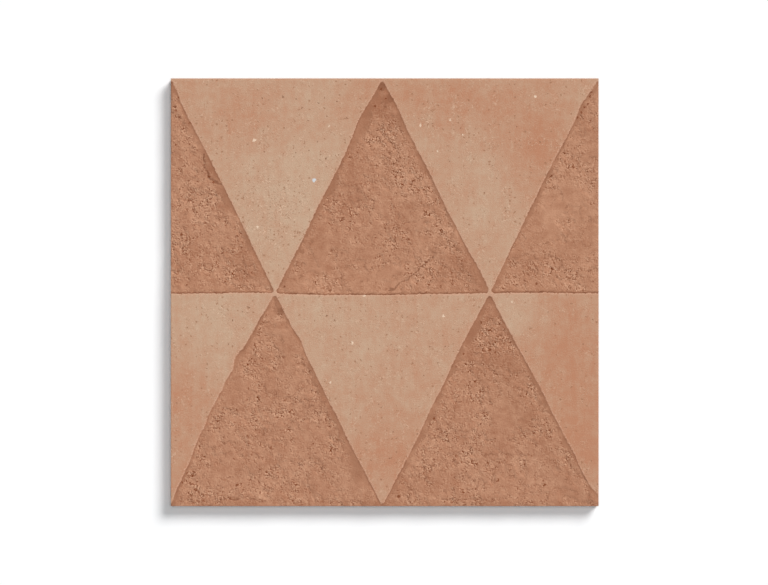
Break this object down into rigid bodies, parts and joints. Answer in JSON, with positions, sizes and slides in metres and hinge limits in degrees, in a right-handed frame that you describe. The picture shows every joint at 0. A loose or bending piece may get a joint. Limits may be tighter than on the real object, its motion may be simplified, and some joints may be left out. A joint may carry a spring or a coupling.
{
  "type": "floor tile",
  "caption": "Square fired-clay floor tile with rough triangles sunk between smooth raised ones and a keyed back for bedding in mortar.",
  "frame": {"origin": "middle of the back, on the plane of its ribs, which is the bed the tile is laid on", "axes": "+Z out of the patterned face, +Y along the face towards the apexes of the sunk triangles"},
  "size_m": [0.2, 0.2, 0.009],
  "materials": {
    "fired_clay": "matte"
  },
  "bodies": {
    "root": {"floor_tile": "fired_clay"}
  },
  "joints": []
}
